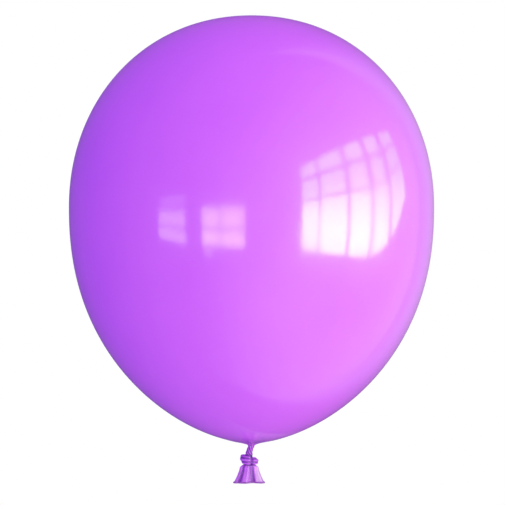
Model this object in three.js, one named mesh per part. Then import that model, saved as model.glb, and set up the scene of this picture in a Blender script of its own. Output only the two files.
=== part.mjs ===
// A 12 inch latex party balloon, blown up and tied off with its own neck.
// Millimetres, +Z up. The origin is in the throat, where a ribbon is tied round the neck, just
// under the balloon. The real thing is one dip-moulded skin, so the pieces here are its regions.

import * as THREE from 'three';

// Belly
const BELLY_RADIUS = 150;      // 300 mm across, a 12 inch balloon
const CROWN_RISE = 157.5;      // widest ring up to the crown
const BELLY_DROP = 194;        // widest ring down to the pole at the neck
const POLE_HEIGHT = 1.65;      // the lower pole, above the origin
const CROWN_POWERS = [2.06, 2.1];
const DROP_POWERS = [2.22, 1.69];
const MOUTH_RADIUS = 15.5;     // where the belly's skin runs into the neck
const BELLY_WALL = 0.2;
const POLE_WALL = 0.4;         // the latex stays thicker at the crown and the neck
const BELLY_SEGMENTS = 72;
const BELLY_RINGS = 18;        // rings from the widest ring to either pole

// Neck
const GAP = 0.3;               // running clearance between neighbouring pieces
const THROAT_RADIUS = 2.4;
const THROAT_BOTTOM = -0.9;
const FUNNEL_WALL = 0.4;
const FUNNEL_PLEATS = 9;
const FUNNEL_RIPPLE = 0.5;
const STRAND_RADIUS = 2.3;     // the gathered neck
const DOME = 1.6;              // height of the rounded ends that let the neck bend
const BEND_GAP = 0.4;          // between two rounded ends
const GATHER_BOTTOM = -3;
const TWIST_BOTTOM = -6.7;

// Knot
const CORE_BOTTOM = -15.6;
const LOOP_TURNS = 1.45;
const LOOP_TOP = -8.6;         // the loop strand's centre line at its upper end
const LOOP_PITCH = 4.05;
const LOOP_RADIUS = 2.75;      // half the loop strand's width
const LOOP_FLATNESS = 0.68;    // its height over its width
const LOOP_START = 0.9;        // radians round from +X

// Tail: a flattened tube that widens down to its rolled rim
const TAIL_TOP = -15.9;
const TAIL_HINGE = -17.7;      // where the tail folds under the knot
const TAIL_BOTTOM = -30.6;     // the centre of the rolled rim
const SLEEVE_TOP = -20.1;
const SKIRT_TOP = -25.5;
const TAIL_HALF_WIDTHS = [7.5, 13.2];
const TAIL_HALF_DEPTHS = [2, 3.2];
const TAIL_WALL = 0.5;         // two layers of unstretched latex
const TAIL_PLEAT = 1.9;        // how far the folds swing at the rim
const RIM_RADIUS = 0.8;

// A cylinder's radius that tube profiles are drawn about before they are flattened
const DATUM = 10;

const lilac = 0xc86cf2;

function material(color, roughness) {
  return new THREE.MeshStandardMaterial({ color, roughness, metalness: 0 });
}

function piece(name, geometry, color = lilac, roughness = 0.22) {
  const mesh = new THREE.Mesh(geometry, material(color, roughness));
  mesh.name = name;
  return mesh;
}

// Turns a profile of [radius, height] points about Z, then moves each point of the surface to
// place(radius, angle, height).
function mould(profile, segments, place) {
  const points = profile.map(([radius, height]) => new THREE.Vector2(radius, height));
  const geometry = new THREE.LatheGeometry(points, segments);
  geometry.rotateX(Math.PI / 2);
  const position = geometry.attributes.position;
  for (let i = 0; i < position.count; i++) {
    const x = position.getX(i);
    const y = position.getY(i);
    const [px, py, pz] = place(Math.hypot(x, y), Math.atan2(y, x), position.getZ(i));
    position.setXYZ(i, px, py, pz);
  }
  geometry.computeVertexNormals();
  return geometry;
}

function round(radius, angle, height) {
  return [radius * Math.cos(angle), radius * Math.sin(angle), height];
}

// Belly radius at share t of the way from the widest ring to a pole.
function bellyRadius(t, [outer, inner]) {
  return BELLY_RADIUS * (1 - t ** outer) ** (1 / inner);
}

// Share of the drop at which the belly has narrowed to the given radius.
function dropShare(radius) {
  const [outer, inner] = DROP_POWERS;
  return (1 - (radius / BELLY_RADIUS) ** inner) ** (1 / outer);
}

// Outer profile of the belly, from its open mouth up to the crown, as {radius, height, share}.
function bellyOutline() {
  const widest = POLE_HEIGHT + BELLY_DROP;
  const mouth = Math.asin(dropShare(MOUTH_RADIUS));
  const outline = [];
  for (let i = BELLY_RINGS; i > 0; i--) {
    const share = Math.sin(mouth * i / BELLY_RINGS);
    const radius = bellyRadius(share, DROP_POWERS);
    outline.push({ radius, height: widest - BELLY_DROP * share, share });
  }
  for (let i = 0; i < BELLY_RINGS; i++) {
    const share = Math.sin(Math.PI / 2 * i / BELLY_RINGS);
    const radius = bellyRadius(share, CROWN_POWERS);
    outline.push({ radius, height: widest + CROWN_RISE * share, share });
  }
  outline.push({ radius: 0, height: widest + CROWN_RISE, share: 1 });
  return outline;
}

// The same outline moved inwards, square to itself, by the wall's thickness.
function innerOutline(outline) {
  return outline.map(({ radius, height, share }, i) => {
    const wall = BELLY_WALL + (POLE_WALL - BELLY_WALL) * share ** 4;
    if (radius === 0) return [0, height - wall];
    const before = outline[Math.max(i - 1, 0)];
    const after = outline[i + 1];
    const along = Math.hypot(after.radius - before.radius, after.height - before.height);
    return [
      radius - wall * (after.height - before.height) / along,
      height + wall * (after.radius - before.radius) / along,
    ];
  });
}

function envelope() {
  const outline = bellyOutline();
  const outside = outline.map(({ radius, height }) => [radius, height]);
  const inside = innerOutline(outline).reverse();
  return mould([...outside, ...inside, outside[0]], BELLY_SEGMENTS, round);
}

// A dished funnel with a closed throat. Its pleats start flat at the belly and deepen inwards.
function neckFunnel() {
  const rim = [MOUTH_RADIUS - 0.4, POLE_HEIGHT + BELLY_DROP * (1 - dropShare(MOUTH_RADIUS))];
  const curve = new THREE.QuadraticBezierCurve(
    new THREE.Vector2(THROAT_RADIUS, THROAT_BOTTOM),
    new THREE.Vector2(2.6, 1.5),
    new THREE.Vector2(...rim),
  );
  const outside = curve.getPoints(9).map((p) => [p.x, p.y]);
  const dished = outside.slice(3).reverse();
  const inside = dished.map(([radius, height]) => [radius, height + FUNNEL_WALL]);
  const floor = inside.at(-1)[1];
  const profile = [[0, THROAT_BOTTOM], ...outside, ...inside, [0, floor]];
  return mould(profile, FUNNEL_PLEATS * 6, (radius, angle, height) => {
    const share = THREE.MathUtils.clamp((radius - 2.6) / (rim[0] - 2.6), 0, 1);
    const depth = FUNNEL_RIPPLE * Math.sin(Math.PI * share ** 0.6);
    return round(radius, angle, height + depth * Math.cos(FUNNEL_PLEATS * angle));
  });
}

// Profile of a column on the axis. An end with a dome height above 0 is rounded.
function column(radius, bottom, top, bottomDome, topDome) {
  const steps = 4;
  const profile = [[0, bottom]];
  for (let i = 1; i <= steps; i++) {
    const a = Math.PI / 2 * i / steps;
    if (bottomDome > 0) profile.push([radius * Math.sin(a), bottom + bottomDome * (1 - Math.cos(a))]);
  }
  if (bottomDome === 0) profile.push([radius, bottom]);
  for (let i = steps; i > 0; i--) {
    const a = Math.PI / 2 * i / steps;
    if (topDome > 0) profile.push([radius * Math.sin(a), top - topDome * (1 - Math.cos(a))]);
  }
  if (topDome === 0) profile.push([radius, top]);
  profile.push([0, top]);
  return profile;
}

// Fluted all round, with the flutes winding about the axis by the given radians per millimetre.
function fluted(count, depth, winding) {
  return (radius, angle, height) => {
    const flute = 1 - depth * (0.5 + 0.5 * Math.cos(count * (angle + winding * height)));
    return round(radius * flute, angle, height);
  };
}

function strandPiece(bottom, top, bottomDome, topDome, winding) {
  const profile = column(STRAND_RADIUS, bottom, top, bottomDome, topDome);
  return mould(profile, 24, fluted(6, 0.22, winding));
}

// Half the loop strand's width at share along of its length: full, but tapered to 0 at both ends.
function loopWidth(along) {
  return LOOP_RADIUS * (1 - Math.abs(2 * along - 1) ** 5) ** 0.5;
}

// The strand wrapped round the knot's core: a flattened coil whose two ends lie against it.
function knotLoop() {
  const steps = 36;
  const profile = [];
  for (let i = 0; i <= steps; i++) {
    const along = i / steps;
    profile.push([loopWidth(along), along]);
  }
  return mould(profile, 10, (radius, angle, along) => {
    const turn = LOOP_START + 2 * Math.PI * LOOP_TURNS * along;
    const reach = STRAND_RADIUS + GAP + loopWidth(along) + radius * Math.cos(angle);
    const drop = LOOP_PITCH * LOOP_TURNS * along + LOOP_FLATNESS * radius * Math.sin(angle);
    return [reach * Math.cos(turn), reach * Math.sin(turn), LOOP_TOP - drop];
  });
}

// Flattens a tube drawn about the datum radius into the tail, whose width, depth and folds grow
// with the distance below the knot.
function tailShape(radius, angle, height) {
  const down = (TAIL_TOP - height) / (TAIL_TOP - TAIL_BOTTOM);
  const folded = Math.max(0, (SLEEVE_TOP - height) / (SLEEVE_TOP - TAIL_BOTTOM));
  const inset = DATUM - radius;
  const halfWidth = THREE.MathUtils.lerp(...TAIL_HALF_WIDTHS, down);
  const halfDepth = THREE.MathUtils.lerp(...TAIL_HALF_DEPTHS, down);
  const x = (halfWidth - inset) * Math.cos(angle);
  const fold = TAIL_PLEAT * folded * Math.sin(3.6 * x / halfWidth + 0.6);
  return [x, (halfDepth - inset) * Math.sin(angle) + fold, height];
}

// An open tube of the tail between two heights.
function tailTube(bottom, top) {
  const middle = (top + bottom) / 2;
  const inner = DATUM - TAIL_WALL;
  const profile = [
    [DATUM, bottom], [DATUM, middle], [DATUM, top],
    [inner, top], [inner, middle], [inner, bottom], [DATUM, bottom],
  ];
  return mould(profile, 40, tailShape);
}

// The tail's first stretch. Its lower edge is rounded about the fold line, so the rest can turn.
function tailRoot() {
  const wall = 0.8;
  const profile = [[DATUM - wall, TAIL_TOP]];
  const depth = TAIL_HALF_DEPTHS[0];
  const open = Math.acos((depth - wall) / depth);
  const steps = 4;
  for (let i = 0; i <= steps; i++) {
    const a = open * (1 - i / steps);
    profile.push([DATUM - depth * (1 - Math.cos(a)), TAIL_HINGE - depth * Math.sin(a)]);
  }
  profile.push([DATUM, TAIL_TOP], [DATUM - wall, TAIL_TOP]);
  return mould(profile, 40, tailShape);
}

function lipBead() {
  const sides = 8;
  const profile = [];
  for (let i = 0; i <= sides; i++) {
    const a = 2 * Math.PI * i / sides;
    const radius = DATUM - TAIL_WALL / 2 + RIM_RADIUS * Math.cos(a);
    profile.push([radius, TAIL_BOTTOM + RIM_RADIUS * Math.sin(a)]);
  }
  return mould(profile, 40, tailShape);
}

const balloon = new THREE.Group();
balloon.add(
  piece('envelope', envelope(), lilac, 0.12),
  piece('neck_funnel', neckFunnel(), 0xb85ce0),
  piece('neck_gather', strandPiece(GATHER_BOTTOM, THROAT_BOTTOM - GAP, DOME, 0, 0.1), 0x9a3cc4),
  piece('neck_twist', strandPiece(TWIST_BOTTOM, GATHER_BOTTOM - BEND_GAP, DOME, DOME, 0.5), 0x9a3cc4),
  piece('knot_core', strandPiece(CORE_BOTTOM, TWIST_BOTTOM - BEND_GAP, 0, DOME, 0.2), 0x8a30b8),
  piece('knot_loop', knotLoop(), 0xa44ad4),
  piece('tail_root', tailRoot(), 0xa44ad4),
  piece('tail_sleeve', tailTube(SKIRT_TOP + GAP, SLEEVE_TOP), 0xb458e0),
  piece('tail_skirt', tailTube(TAIL_BOTTOM + RIM_RADIUS + GAP, SKIRT_TOP), 0xc070ea),
  piece('lip_bead', lipBead(), 0x8a40a8),
);

export default balloon;
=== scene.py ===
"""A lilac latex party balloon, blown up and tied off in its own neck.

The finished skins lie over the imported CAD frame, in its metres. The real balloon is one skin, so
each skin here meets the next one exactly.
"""

import math

import bmesh
import bpy
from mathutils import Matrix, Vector


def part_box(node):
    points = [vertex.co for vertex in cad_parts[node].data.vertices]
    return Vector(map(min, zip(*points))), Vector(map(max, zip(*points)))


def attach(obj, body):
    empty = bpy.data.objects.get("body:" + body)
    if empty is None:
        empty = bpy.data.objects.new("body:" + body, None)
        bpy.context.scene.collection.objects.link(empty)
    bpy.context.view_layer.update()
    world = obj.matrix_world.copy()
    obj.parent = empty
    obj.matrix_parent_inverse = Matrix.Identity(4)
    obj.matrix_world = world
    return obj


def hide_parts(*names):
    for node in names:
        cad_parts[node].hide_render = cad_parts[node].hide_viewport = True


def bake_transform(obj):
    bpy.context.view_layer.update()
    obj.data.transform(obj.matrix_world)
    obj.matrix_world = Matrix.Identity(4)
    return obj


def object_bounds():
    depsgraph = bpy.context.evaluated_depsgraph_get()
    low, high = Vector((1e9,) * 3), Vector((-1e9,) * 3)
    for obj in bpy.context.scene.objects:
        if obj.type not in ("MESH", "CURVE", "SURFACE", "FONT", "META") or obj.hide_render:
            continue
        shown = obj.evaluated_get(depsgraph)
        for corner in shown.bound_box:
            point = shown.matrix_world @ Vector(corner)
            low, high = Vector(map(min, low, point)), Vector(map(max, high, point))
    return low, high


MM = 0.001

# Belly, as the CAD has it
CROWN_RISE = 157.5 * MM
BELLY_DROP = 194 * MM
CROWN_POWERS = (2.06, 2.1)
DROP_POWERS = (2.22, 1.69)

# The funnel under the belly, and the folds that run out from it
PUCKER_REACH = 36 * MM  # how far out the neck's folds run over the belly
PUCKER_DEPTH = 0.55 * MM
FUNNEL_RADIUS = 2.6 * MM  # where the folds start, at the neck
FUNNEL_BEND = (2.95 * MM, 1.5 * MM)  # (radius, height) that the funnel's curve is drawn towards

# How finely the skins are divided
DROP_ROWS = 64
CROWN_ROWS = 56
FUNNEL_ROWS = 26
BELLY_COLUMNS = 200
NECK_COLUMNS = 84
TAIL_COLUMNS = 160

# Heights where one skin hands over to the next
THROAT_END = -0.6 * MM
GATHER_END = -2.1 * MM
TWIST_END = -5 * MM
NECK_END = -9.4 * MM
TAIL_SEAM = -21.6 * MM

KNOT_DRIFT = -2 * MM  # the knot hangs a little to the left of the belly's middle

# Pleats of the gathered neck
NECK_PLEATS = 7
PLEAT_DEPTH = 0.2  # as a share of the radius
PLEAT_WINDING = 0.3 / MM  # radians per metre of height

# The strand wrapped round the knot
WRAP_TURNS = 1.3
WRAP_START = 0.9  # radians round from +X
WRAP_TUCK = 5.1  # radians, where the strand dives under itself
WRAP_DROP = 3.9 * MM
WRAP_INNER = 2.1 * MM
WRAP_HALF_WIDTH = 2.75 * MM
WRAP_HALF_HEIGHTS = (4.4 * MM, 2.7 * MM)  # at its start and its end

# Tail, each as (at the knot, at the rim)
TAIL_HALF_WIDTHS = (7.4 * MM, 13.1 * MM)
TAIL_HALF_DEPTHS = (2.0 * MM, 3.1 * MM)
TAIL_CREASES = (0.5 * MM, 1.1 * MM)
TAIL_SWEEP = 1.9 * MM
TAIL_WALL = 0.3 * MM

# Latex colours
LILAC = (0.6, 0.115, 0.9, 1)
LILAC_CLOUD = (0.66, 0.14, 0.92, 1)
THICK_LILAC = (0.34, 0.05, 0.6, 1)
FOLD_SHADE = (0.25, 0.04, 0.45, 1)
DUST = (0.85, 0.6, 0.95, 1)
NECK_COLOURS = ((0.62, 0.14, 0.9, 1), (0.22, 0.025, 0.42, 1))  # (lit, painted shade down in a fold)
# Tail and lip pairs too: (lit, painted shade down in a fold)
TAIL_COLOURS = ((0.66, 0.16, 0.92, 1), (0.24, 0.03, 0.45, 1))
LIP_COLOURS = ((0.34, 0.1, 0.5, 1), (0.12, 0.02, 0.22, 1))
# Painted glow of the light coming through the tail's single thin layer on its right side.
BACKLIT_TAIL = (0.85, 0.45, 0.94, 1)

# Studio
BALLOON_SHARE = 0.72079  # the balloon's width over the picture's
LENS = 150
CAMERA_SHIFT = (0.8 * MM, -2.1 * MM)  # right and up from the middle of the balloon
FLOOR_DROP = 0.42  # below the tail
FLOOR_RADIUS = 3
FLOOR_GLOW = 0.26
KEY_SIDE = (0.78, -0.6, -0.12)  # where most of the soft light comes from
SOFT_BRIGHT = (1.68, 1.7, 1.4, 1)
SOFT_DARK = (0.14, 0, 0.82, 1)
BACK_LIGHT = (3.3, 3, 2.4, 1)
GLOW_SIDE = (0.9, -0.3, -0.3)  # the bright end of the room that the gloss sees
GLOSS_BRIGHT = (1.5, 1.4, 1.5, 1)
GLOSS_DARK = (0.2, 0.11, 0.36, 1)
WINDOW_LIGHT = (0.42, 1, 0.9, 1)
FAR_LIGHT = (0.9, 1, 0.85, 1)
CARD_FRONT = (0.75, 0.72, 0.8, 1)
CARD_REAR = (0.6, 0.55, 0.65, 1)
WHITE = (1, 1, 1, 1)

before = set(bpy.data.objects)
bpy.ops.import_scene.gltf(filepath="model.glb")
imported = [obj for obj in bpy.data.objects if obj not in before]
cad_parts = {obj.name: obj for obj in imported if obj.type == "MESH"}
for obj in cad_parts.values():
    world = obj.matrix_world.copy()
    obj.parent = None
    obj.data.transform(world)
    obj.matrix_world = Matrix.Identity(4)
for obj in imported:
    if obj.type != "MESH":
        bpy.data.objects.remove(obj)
cad_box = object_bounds()

# Each node's box, read once: (low corner, high corner)
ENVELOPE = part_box("envelope")
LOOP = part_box("knot_loop")
ROOT_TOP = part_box("tail_root")[1].z
SLEEVE_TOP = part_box("tail_sleeve")[1].z
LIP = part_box("lip_bead")


def mix(a, b, share):
    return a + (b - a) * share


def smooth(low, high, value):
    """0 below low, 1 above high, and an even S between them."""
    share = min(max((value - low) / (high - low), 0), 1)
    return share * share * (3 - 2 * share)


def along(keys, value):
    """Straight-line value between (place, value) keys, in rising order of place."""
    for (a, low), (b, high) in zip(keys, keys[1:]):
        if value <= b:
            return mix(low, high, max(value - a, 0) / (b - a))
    return keys[-1][1]


# ---------------------------------------------------------------- shapes


def add_object(name, bm):
    """Turns a finished bmesh into an object of the scene."""
    mesh = bpy.data.meshes.new(name)
    bm.to_mesh(mesh)
    bm.free()
    obj = bpy.data.objects.new(name, mesh)
    bpy.context.scene.collection.objects.link(obj)
    return obj


def skin(name, rows, columns, point, flip=False):
    """A tube of rings. point(share, angle) gives a place and how deep in a fold it lies, 0 to 1, which
    the materials paint as shade.

    Each point keeps its place at rest, so that a colour doesn't slide when the skin bends.
    """
    bm = bmesh.new()
    # How deep in a fold each point lies; the materials darken by it as painted shade.
    fold = bm.verts.layers.float.new("fold")
    rest = bm.verts.layers.float_vector.new("rest")
    rings = []
    for i in range(rows + 1):
        ring = []
        for j in range(columns):
            place, depth = point(i / rows, 2 * math.pi * j / columns)
            vert = bm.verts.new(place)
            vert[fold] = depth
            vert[rest] = place
            ring.append(vert)
        rings.append(ring)
    for lower, upper in zip(rings, rings[1:]):
        for j in range(columns):
            k = (j + 1) % columns
            bm.faces.new((lower[j], lower[k], upper[k], upper[j]))
    bmesh.ops.remove_doubles(bm, verts=bm.verts, dist=1e-7)
    if flip:
        bmesh.ops.reverse_faces(bm, faces=bm.faces)
    obj = add_object(name, bm)
    for polygon in obj.data.polygons:
        polygon.use_smooth = True
    return obj


def belly_radius(share, powers):
    outer, inner = powers
    return ENVELOPE[1].x * (1 - share**outer) ** (1 / inner)


def belly_profile():
    """(radius, height) from the throat up over the funnel and the belly to the crown."""
    mouth_height = ENVELOPE[0].z
    widest = ENVELOPE[1].z - CROWN_RISE
    start = (widest - mouth_height) / BELLY_DROP
    mouth = Vector((belly_radius(start, DROP_POWERS), mouth_height))
    throat = Vector((neck_radius(THROAT_END), THROAT_END))
    bend = Vector(FUNNEL_BEND)
    profile = []
    for i in range(FUNNEL_ROWS):
        t = i / FUNNEL_ROWS
        profile.append(throat * (1 - t) ** 2 + bend * 2 * t * (1 - t) + mouth * t * t)
    for i in range(DROP_ROWS, 0, -1):
        share = math.sin(math.asin(start) * i / DROP_ROWS)
        profile.append((belly_radius(share, DROP_POWERS), widest - BELLY_DROP * share))
    for i in range(CROWN_ROWS + 1):
        share = math.sin(math.pi / 2 * i / CROWN_ROWS)
        profile.append((belly_radius(share, CROWN_POWERS), widest + CROWN_RISE * share))
    return [Vector(p) for p in profile]


def make_belly():
    """The belly and the funnel under it, with folds that fan out from the neck and fade away."""
    profile = belly_profile()
    rows = len(profile) - 1

    def point(share, angle):
        radius, height = profile[round(share * rows)]
        offset = drift(height)
        flute, depth = flutes(height, angle)
        reach = min(max((radius - FUNNEL_RADIUS) / (PUCKER_REACH - FUNNEL_RADIUS), 0), 1)
        rise = 3.2 * reach**0.6 * (1 - reach) ** 2.4 if height < CROWN_RISE else 0
        ripple = (
            0.5 * math.cos(11 * angle + 0.4)
            + 0.3 * math.cos(7 * angle + 2.1)
            + 0.2 * math.cos(19 * angle + 1.2)
        )
        height += PUCKER_DEPTH * rise * ripple
        radius *= flute
        # Painted shade: the pucker's folds near the neck get a depth that the material darkens.
        depth = max(depth, min(rise, 1) * (0.5 + 0.5 * ripple))
        return (offset + radius * math.cos(angle), radius * math.sin(angle), height), depth

    return skin("belly_skin", rows, BELLY_COLUMNS, point)


def neck_radius(height):
    """Radius of the gathered neck, from (height, radius) keys in millimetres."""
    keys = ((-18, 2.9), (-9, 2.9), (-7, 3), (-5, 2.8), (-3, 2.7), (-0.6, 2.75), (1, 2.9))
    return MM * along(keys, height / MM)


def drift(height):
    """How far the neck's middle has moved sideways, on its way from the belly to the knot."""
    return KNOT_DRIFT * (1 - smooth(-6.5, 1, height / MM))


def flutes(height, angle):
    """The gathered neck's winding pleats, as a factor for the radius and a depth from 0 to 1."""
    deep = PLEAT_DEPTH * (1 - smooth(-0.6, 1.6, height / MM))
    turn = PLEAT_WINDING * height
    wave = 0.5 + 0.5 * math.cos(NECK_PLEATS * (angle + turn) + 0.5 * math.sin(3 * angle))
    return 1 - deep * wave, wave * min(deep * 5, 1)


def neck_skin(name, top, bottom, rows):
    """A stretch of the gathered neck between two heights."""

    def point(share, angle):
        height = mix(bottom, top, share)
        flute, depth = flutes(height, angle)
        radius = neck_radius(height) * flute
        # Painted shadow where the neck goes down into the knot: its lowest stretch is marked deepest.
        depth = max(depth, 1 - smooth(-8.6, -6.6, height / MM))
        return (drift(height) + radius * math.cos(angle), radius * math.sin(angle), height), depth

    return skin(name, rows, NECK_COLUMNS, point)


def make_knot_wrap():
    """The strand wound round the neck: one plump, pleated turn with its ends tucked in behind."""
    top = LOOP[1].z - WRAP_HALF_HEIGHTS[1]

    def point(share, angle):
        end = (1 - abs(2 * share - 1) ** 5) ** 0.5
        pleat = 0.5 + 0.5 * math.cos(6 * angle + 7 * share + 0.8 * math.sin(5 * share))
        turn = WRAP_START + 2 * math.pi * WRAP_TURNS * share
        tuck = math.exp(-(((turn - WRAP_TUCK) / 0.24) ** 2))
        lump = end * (1 + 0.07 * math.sin(11 * share + 2 * angle)) * (1 - 0.3 * tuck)
        across = WRAP_HALF_WIDTH * lump * (1 - 0.16 * pleat) * math.cos(angle)
        up = mix(*WRAP_HALF_HEIGHTS, share) * lump * (1 - 0.16 * pleat) * math.sin(angle)
        reach = WRAP_INNER + WRAP_HALF_WIDTH * lump + across
        place = (
            KNOT_DRIFT + reach * math.cos(turn),
            reach * math.sin(turn),
            top - WRAP_DROP * share - up,
        )
        # Painted shade in the pleats, and a painted shadow where the strand dives under itself.
        return place, max(pleat, tuck)

    return skin("knot_wrap", 150, 48, point)


def tail_point(height, angle, proud=0.0):
    """The tail's folded, flattened section at a height. proud moves the surface outwards."""
    bottom = LIP[0].z
    down = min(max((ROOT_TOP - height) / (ROOT_TOP - bottom), 0), 1)
    loose = max(0, (SLEEVE_TOP - height) / (SLEEVE_TOP - bottom))
    shoulders = mix(0.5, 1, smooth(14.4, 18.4, -height / MM))
    half_width = mix(*TAIL_HALF_WIDTHS, down**1.6) * shoulders
    half_depth = mix(*TAIL_HALF_DEPTHS, down)
    side = math.cos(angle)
    sweep = TAIL_SWEEP * loose * math.sin(3.6 * side + 0.6)
    crease = mix(*TAIL_CREASES, down) * math.sin(7 * side - 0.17)
    fine = MM * 0.25 * math.sin(19 * side + 0.4 + 1.5 * down)
    front = -1 if math.sin(angle) < 0 else 1
    pinch = 1 - 0.3 * smooth(0.3, 0.9, abs(side))
    x = (half_width + proud) * side
    y = (half_depth * pinch + proud) * math.sin(angle) + sweep + crease + fine
    # Painted shade down in the front creases.
    depth = min(max(0.4 - 0.55 * front * (crease + fine) / MM, 0), 1)
    # The tail's top, up under the knot, is given full depth, so it takes the tail's darkest colour.
    depth = max(depth, smooth(-17.6, -16, height / MM))
    return (KNOT_DRIFT + x, y, height), depth


def tail_skin(name, top, bottom, rows):
    """A stretch of the tail between two heights."""

    def point(share, angle):
        return tail_point(mix(bottom, top, share), angle)

    return skin(name, rows, TAIL_COLUMNS, point)


def make_lip():
    """The rolled rim, round the tail's open end."""
    low, high = LIP
    centre, thick = (low.z + high.z) / 2, (high.z - low.z) / 2

    def point(share, angle):
        roll = 2 * math.pi * share
        proud = thick * (0.85 * math.cos(roll) - 0.2)
        place, depth = tail_point(centre, angle, proud)
        height = centre + thick * math.sin(roll)
        # The lip's painted fold shade, at about a third of the tail's strength.
        return (place[0], place[1], height), 0.35 * depth

    return skin("lip_roll", 14, TAIL_COLUMNS, point, flip=True)


# ---------------------------------------------------------------- materials


class Nodes:
    """A short way to write a node tree."""

    def __init__(self, tree):
        self.tree = tree

    def add(self, kind, inputs=(), **settings):
        node = self.tree.nodes.new("ShaderNode" + kind)
        for key, value in settings.items():
            setattr(node, key, value)
        for key, value in dict(inputs).items():
            self.feed(node.inputs[key], value)
        return node

    def feed(self, socket, value):
        if isinstance(value, bpy.types.NodeSocket):
            self.tree.links.new(value, socket)
        else:
            socket.default_value = value

    def math(self, operation, *values):
        node = self.add("Math", operation=operation)
        for i, value in enumerate(values):
            self.feed(node.inputs[i], value)
        return node.outputs[0]

    def ramp(self, value, low, high, to_low=0.0, to_high=1.0):
        inputs = {0: value, 1: low, 2: high, 3: to_low, 4: to_high}
        return self.add("MapRange", inputs, interpolation_type="SMOOTHSTEP").outputs[0]

    def straight(self, value, low, high):
        inputs = {0: value, 1: low, 2: high, 3: 0.0, 4: 1.0}
        return self.add("MapRange", inputs).outputs[0]

    def dot(self, a, b):
        node = self.add("VectorMath", {0: a, 1: Vector(b).normalized()}, operation="DOT_PRODUCT")
        return node.outputs["Value"]

    def noise(self, where, scale, detail=2.0, roughness=0.5):
        inputs = {"Vector": where, "Scale": scale, "Detail": detail, "Roughness": roughness}
        return self.add("TexNoise", inputs).outputs["Fac"]

    def blend(self, share, a, b):
        node = self.add("Mix", data_type="RGBA")
        self.feed(node.inputs[0], share)
        self.feed(node.inputs[6], a)
        self.feed(node.inputs[7], b)
        return node.outputs[2]


def material(name):
    made = bpy.data.materials.new(name)
    made.use_nodes = True
    made.node_tree.nodes.clear()
    return made, Nodes(made.node_tree)


def finish_material(n, colour, roughness, bump, haze):
    """haze is the strength of the broad, soft shine round the sharp one."""
    shader = n.add("BsdfPrincipled", {"Base Color": colour, "Roughness": roughness, "Normal": bump})
    shader.inputs["IOR"].default_value = 1.52
    shader.inputs["Coat Weight"].default_value = haze
    shader.inputs["Coat Roughness"].default_value = 0.35
    shader.inputs["Specular IOR Level"].default_value = 0.5 if haze else 0.32
    shader.inputs["Subsurface Weight"].default_value = 0.15
    shader.inputs["Subsurface Radius"].default_value = (0.006, 0.003, 0.008)
    shader.inputs["Subsurface Scale"].default_value = 1.0
    n.add("OutputMaterial", {"Surface": shader.outputs[0]})


def belly_material():
    """Taut, glossy skin. It is thicker and so deeper in colour at the crown and towards the neck."""
    made, n = material("latex_belly")
    where = n.add("Attribute", attribute_name="rest").outputs["Vector"]
    split = n.add("SeparateXYZ", {0: where}).outputs
    top = ENVELOPE[1].z
    squares = [n.math("MULTIPLY", split[i], split[i]) for i in (0, 1)]
    out = n.math("SQRT", n.math("ADD", *squares))
    near_axis = n.ramp(out, 0.006, 0.017, 1, 0)
    crown = n.math("MULTIPLY", near_axis, n.ramp(split[2], top - 0.02, top - 0.005))
    neck = n.ramp(split[2], 0.0, 0.012, 1, 0)
    clouds = n.noise(where, 14, 3)
    colour = n.blend(clouds, LILAC, LILAC_CLOUD)
    colour = n.blend(n.math("MULTIPLY", crown, 0.45), colour, THICK_LILAC)
    colour = n.blend(n.math("MULTIPLY", neck, 0.45), colour, THICK_LILAC)
    # Painted shade in the folds, darker the deeper the fold.
    fold = n.add("Attribute", attribute_name="fold").outputs["Fac"]
    colour = n.blend(n.math("MULTIPLY", fold, 0.5), colour, FOLD_SHADE)
    dust = n.ramp(n.noise(where, 900, 1), 0.68, 0.76)
    colour = n.blend(n.math("MULTIPLY", dust, 0.06), colour, DUST)
    smears = n.ramp(n.noise(where, 22, 4), 0.35, 0.75)
    speckled = n.math("MULTIPLY_ADD", dust, 0.12, 0.1)
    roughness = n.math("ADD", n.math("MULTIPLY", smears, 0.05), speckled)
    grain = n.math("MULTIPLY", n.noise(where, 700, 2), 0.05)
    height = n.math("MULTIPLY_ADD", n.noise(where, 26, 1), 0.35, grain)
    bump = n.add("Bump", {"Strength": 0.5, "Distance": 0.0004, "Height": height}).outputs[0]
    finish_material(n, colour, roughness, bump, 0.25)
    return made


def neck_material(name, colours, gloss, backlit=None):
    """Slack, unstretched latex: deeper in colour and satin, with painted shade that is darkest down in
    its folds.

    backlit is the colour of its right side: a painted glow of the light that comes through the single
    thin layer there.
    """
    # light is the lit colour; deep is the painted shade colour of the folds, also used for the darker
    # grain streaks.
    light, deep = colours
    made, n = material(name)
    where = n.add("Attribute", attribute_name="rest").outputs["Vector"]
    fold = n.add("Attribute", attribute_name="fold").outputs["Fac"]
    streaks = n.add("Mapping", {"Vector": where, "Scale": (1, 1, 0.25)}).outputs[0]
    grain = n.noise(streaks, 900, 3)
    # Painted light: the right side is lightened to the glow of light coming through it.
    if backlit:
        side = n.add("SeparateXYZ", {0: where}).outputs[0]
        light = n.blend(n.ramp(side, 0.001, 0.006), light, backlit)
    # Painted shade: darker the deeper a point lies in a fold.
    colour = n.blend(n.ramp(fold, 0.15, 0.95), light, deep)
    colour = n.blend(n.math("MULTIPLY", grain, 0.25), colour, deep)
    roughness = n.math("MULTIPLY_ADD", grain, 0.2, gloss)
    bump = n.add("Bump", {"Strength": 0.4, "Distance": 0.0002, "Height": grain}).outputs[0]
    finish_material(n, colour, roughness, bump, 0)
    return made


def dress(obj, made):
    """Gives a piece its material."""
    obj.data.materials.append(made)


# ---------------------------------------------------------------- balloon


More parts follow.
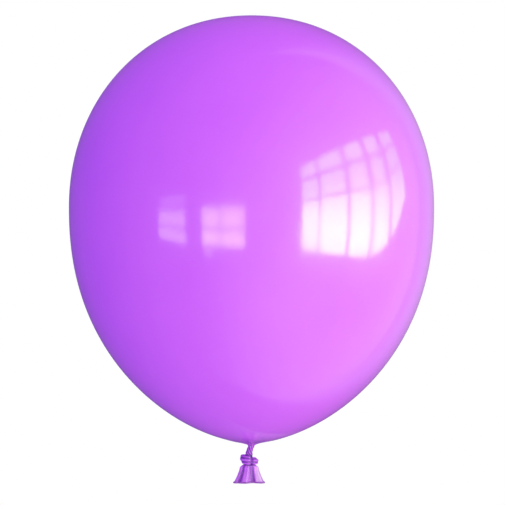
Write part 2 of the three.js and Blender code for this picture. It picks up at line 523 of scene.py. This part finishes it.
def make_balloon():
    belly = make_belly()
    dress(belly, belly_material())
    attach(belly, "balloon")
    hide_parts("envelope", "neck_funnel")

    neck = neck_material("latex_neck", NECK_COLOURS, 0.3)
    gathers = neck_skin("neck_gathers", THROAT_END, GATHER_END, 8)
    dress(gathers, neck)
    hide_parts("neck_gather")
    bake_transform(gathers)

    upper = neck_skin("neck_twist_upper", GATHER_END, TWIST_END, 16)
    dress(upper, neck)
    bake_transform(upper)

    lower = neck_skin("neck_twist_lower", TWIST_END, NECK_END, 22)
    dress(lower, neck)
    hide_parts("neck_twist")
    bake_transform(lower)

    heart = neck_skin("knot_heart", NECK_END, ROOT_TOP - 1 * MM, 24)
    dress(heart, neck)
    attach(heart, "knot")
    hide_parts("knot_core")

    wrap = make_knot_wrap()
    dress(wrap, neck)
    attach(wrap, "knot")
    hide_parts("knot_loop")

    tail = neck_material("latex_tail", TAIL_COLOURS, 0.32, BACKLIT_TAIL)
    gathered = tail_skin("tail_gathers", ROOT_TOP + 1.2 * MM, TAIL_SEAM, 28)
    dress(gathered, tail)
    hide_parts("tail_root")
    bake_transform(gathered)

    skirt = tail_skin("tail_skirt_skin", TAIL_SEAM, LIP[0].z + 0.8 * MM, 32)
    dress(skirt, tail)
    solid = skirt.modifiers.new("thickness", "SOLIDIFY")
    solid.thickness = TAIL_WALL
    solid.offset = -1
    solid.use_rim = False
    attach(skirt, "tail")
    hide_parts("tail_sleeve", "tail_skirt")

    lip = make_lip()
    rolled = neck_material("latex_lip", LIP_COLOURS, 0.28)
    dress(lip, rolled)
    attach(lip, "tail")
    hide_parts("lip_bead")


# ---------------------------------------------------------------- studio


def make_floor():
    """A pale disc far below the balloon. It glows a little and is hidden from gloss and soft light."""
    bm = bmesh.new()
    bmesh.ops.create_circle(bm, cap_ends=True, segments=96, radius=FLOOR_RADIUS)
    floor = add_object("floor", bm)
    floor.location.z = cad_box[0].z - FLOOR_DROP
    floor.visible_glossy = False
    floor.visible_diffuse = False
    made, n = material("floor_white")
    shader = n.add("BsdfPrincipled", {"Base Color": (0.9, 0.92, 0.84, 1), "Roughness": 0.9})
    shader.inputs["Specular IOR Level"].default_value = 0
    shader.inputs["Emission Color"].default_value = WHITE
    shader.inputs["Emission Strength"].default_value = FLOOR_GLOW
    n.add("OutputMaterial", {"Surface": shader.outputs[0]})
    floor.data.materials.append(made)


def make_world():
    """White to the camera. Its soft light comes mostly from the right and is bluer elsewhere."""
    world = bpy.data.worlds.new("studio")
    bpy.context.scene.world = world
    world.use_nodes = True
    world.node_tree.nodes.clear()
    n = Nodes(world.node_tree)
    path = n.add("LightPath").outputs
    way = n.add("TexCoord").outputs["Generated"]
    toward_key = n.dot(way, KEY_SIDE)
    soft = n.blend(n.straight(toward_key, -1, 1), SOFT_DARK, SOFT_BRIGHT)
    behind = n.ramp(n.dot(way, (0, 1, 0)), 0.68, 1)
    soft = n.blend(behind, soft, BACK_LIGHT)
    shine = n.blend(n.ramp(n.dot(way, GLOW_SIDE), -0.2, 0.9), GLOSS_DARK, GLOSS_BRIGHT)
    seen = n.blend(path["Is Glossy Ray"], soft, shine)
    seen = n.blend(path["Is Camera Ray"], seen, WHITE)
    back = n.add("Background", {"Color": seen, "Strength": 1.0})
    n.add("OutputWorld", {"Surface": back.outputs[0]})


def panes(edges, bar):
    """The lit stretches between glazing bars that stand at the inner edges."""
    return [(low + bar / 2, high - bar / 2) for low, high in zip(edges, edges[1:])]


def finish_reflector(n, made, bm, colour, strength):
    """Makes the mesh a glowing thing of the studio that only gloss sees, named as its material."""
    light = n.add("Emission", {"Color": colour, "Strength": strength})
    n.add("OutputMaterial", {"Surface": light.outputs[0]})
    reflector = add_object(made.name, bm)
    reflector.data.materials.append(made)
    reflector.visible_camera = False
    reflector.visible_diffuse = False
    reflector.visible_shadow = False


def window(name, place, columns, rows, tint, glow):
    """Panes of light. place(share across, share up) gives a corner.

    glow is (low height, high height, strength at the low one, strength at the high one), and panes
    farther back in the room are dimmer.
    """
    bm = bmesh.new()
    for left, right in columns:
        for low, high in rows:
            corners = ((left, low), (right, low), (right, high), (left, high))
            bm.faces.new([bm.verts.new(place(*c)) for c in corners])
    made, n = material(name)
    split = n.add("SeparateXYZ", {0: n.add("TexCoord").outputs["Object"]}).outputs
    farther = n.ramp(split[1], -0.6, 0.5, 1, 0.5)
    strength = n.math("MULTIPLY", n.ramp(split[2], *glow), farther)
    finish_reflector(n, made, bm, tint, strength)


def make_windows():
    """A long window down the right wall, brightest low down, and two small ones behind the camera."""

    def right_wall(across, up):
        depth = mix(-2.6, 0.47, across)
        sill = along(((-2.6, -0.52), (-0.13, -0.13), (0.47, 0.32)), depth)
        head = mix(1.22, 0.95, across)
        return (1.5, depth, mix(sill, head, up))

    bars = (0, 0.285, 0.56, 0.73, 0.86, 1)
    upper = panes((0.47, 0.76, 1), 0.05)
    daylight = (-0.05, 0.62, 17, 7.8)
    window("window_right_low", right_wall, panes(bars, 0.022), [(0, 0.465)], WINDOW_LIGHT, daylight)
    window("window_right_high", right_wall, panes(bars, 0.036), upper, WINDOW_LIGHT, daylight)

    def far_wall(across, up):
        return (mix(-1.45, -0.15, across), -2.5, mix(-0.42, 0.24, up))

    halves = panes((0, 0.5, 1), 0.08)
    sides = panes((0, 0.47, 1), 0.04)
    window("window_front", far_wall, sides, halves, FAR_LIGHT, (-0.5, 0.3, 8.4, 7))
    window("window_front_foot", far_wall, [(0.04, 0.26)], [(-0.34, 0)], FAR_LIGHT, (-0.5, 0.3, 3, 3))

    def far_left(across, up):
        return (mix(-4.0, -2.1, across), -2.5, mix(-0.5, 0.21, up))

    window("window_left", far_left, [(0, 1)], halves, FAR_LIGHT, (-0.5, 0.3, 4.6, 4.4))
    window("window_left_top", far_left, [(0.1, 1)], [(1.08, 1.4)], FAR_LIGHT, (-0.5, 0.3, 1.5, 1.5))


def make_card():
    """A card across the room that keeps the windows' glare off the balloon's back."""
    near, far = (-0.115, -0.135), (1.77, 1.23)
    bm = bmesh.new()
    corners = ((*near, -1), (*far, -1), (*far, 2.5), (*near, 2.5))
    bm.faces.new([bm.verts.new(c) for c in corners])
    made, n = material("card")
    right = n.add("SeparateXYZ", {0: n.add("TexCoord").outputs["Object"]}).outputs[0]
    front = n.blend(n.ramp(right, 0.05, 0.3), GLOSS_DARK, CARD_FRONT)
    glow = n.blend(n.add("NewGeometry").outputs["Backfacing"], front, CARD_REAR)
    finish_reflector(n, made, bm, glow, 1.0)


def make_camera():
    """Level with the middle of the balloon, far off and narrow."""
    data = bpy.data.cameras.new("camera")
    data.lens = LENS
    camera = bpy.data.objects.new("camera", data)
    bpy.context.scene.collection.objects.link(camera)
    bpy.context.scene.camera = camera
    low, high = cad_box
    picture_width = (high.x - low.x) / BALLOON_SHARE
    distance = picture_width / 2 / math.tan(data.angle / 2)
    right, up = CAMERA_SHIFT
    camera.location = (right, -distance, (low.z + high.z) / 2 + up)
    camera.rotation_euler = (math.pi / 2, 0, 0)


make_balloon()
make_floor()
make_world()
make_windows()
make_card()
make_camera()
bpy.context.scene.view_settings.view_transform = "Standard"
